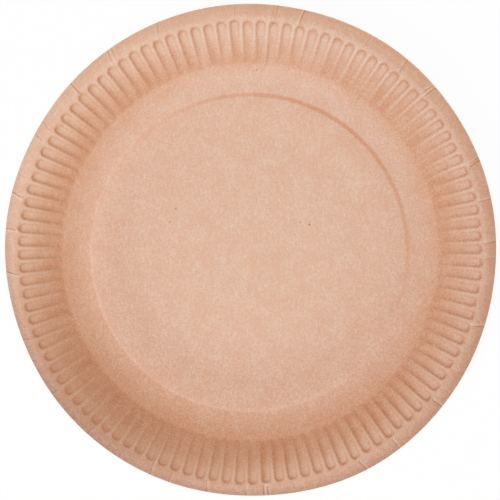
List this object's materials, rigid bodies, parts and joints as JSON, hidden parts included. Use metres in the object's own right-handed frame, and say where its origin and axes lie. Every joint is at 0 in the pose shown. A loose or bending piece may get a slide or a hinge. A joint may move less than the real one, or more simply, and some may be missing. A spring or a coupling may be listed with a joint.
{
  "type": "paper plate",
  "caption": "Round disposable plate of brown kraft board with a fluted sloping wall, a smooth turned-down rim and a slightly raised middle panel.",
  "frame": {"origin": "on the table under the middle of the plate", "axes": "+Z up out of the plate's hollow side, along its axis of symmetry; +X to the right and +Y up in the picture"},
  "size_m": [0.23, 0.23, 0.019],
  "materials": {
    "kraft_board": "matt uncoated brown kraft board with fine fibres"
  },
  "bodies": {
    "root": {"plate": "kraft_board"}
  },
  "joints": []
}
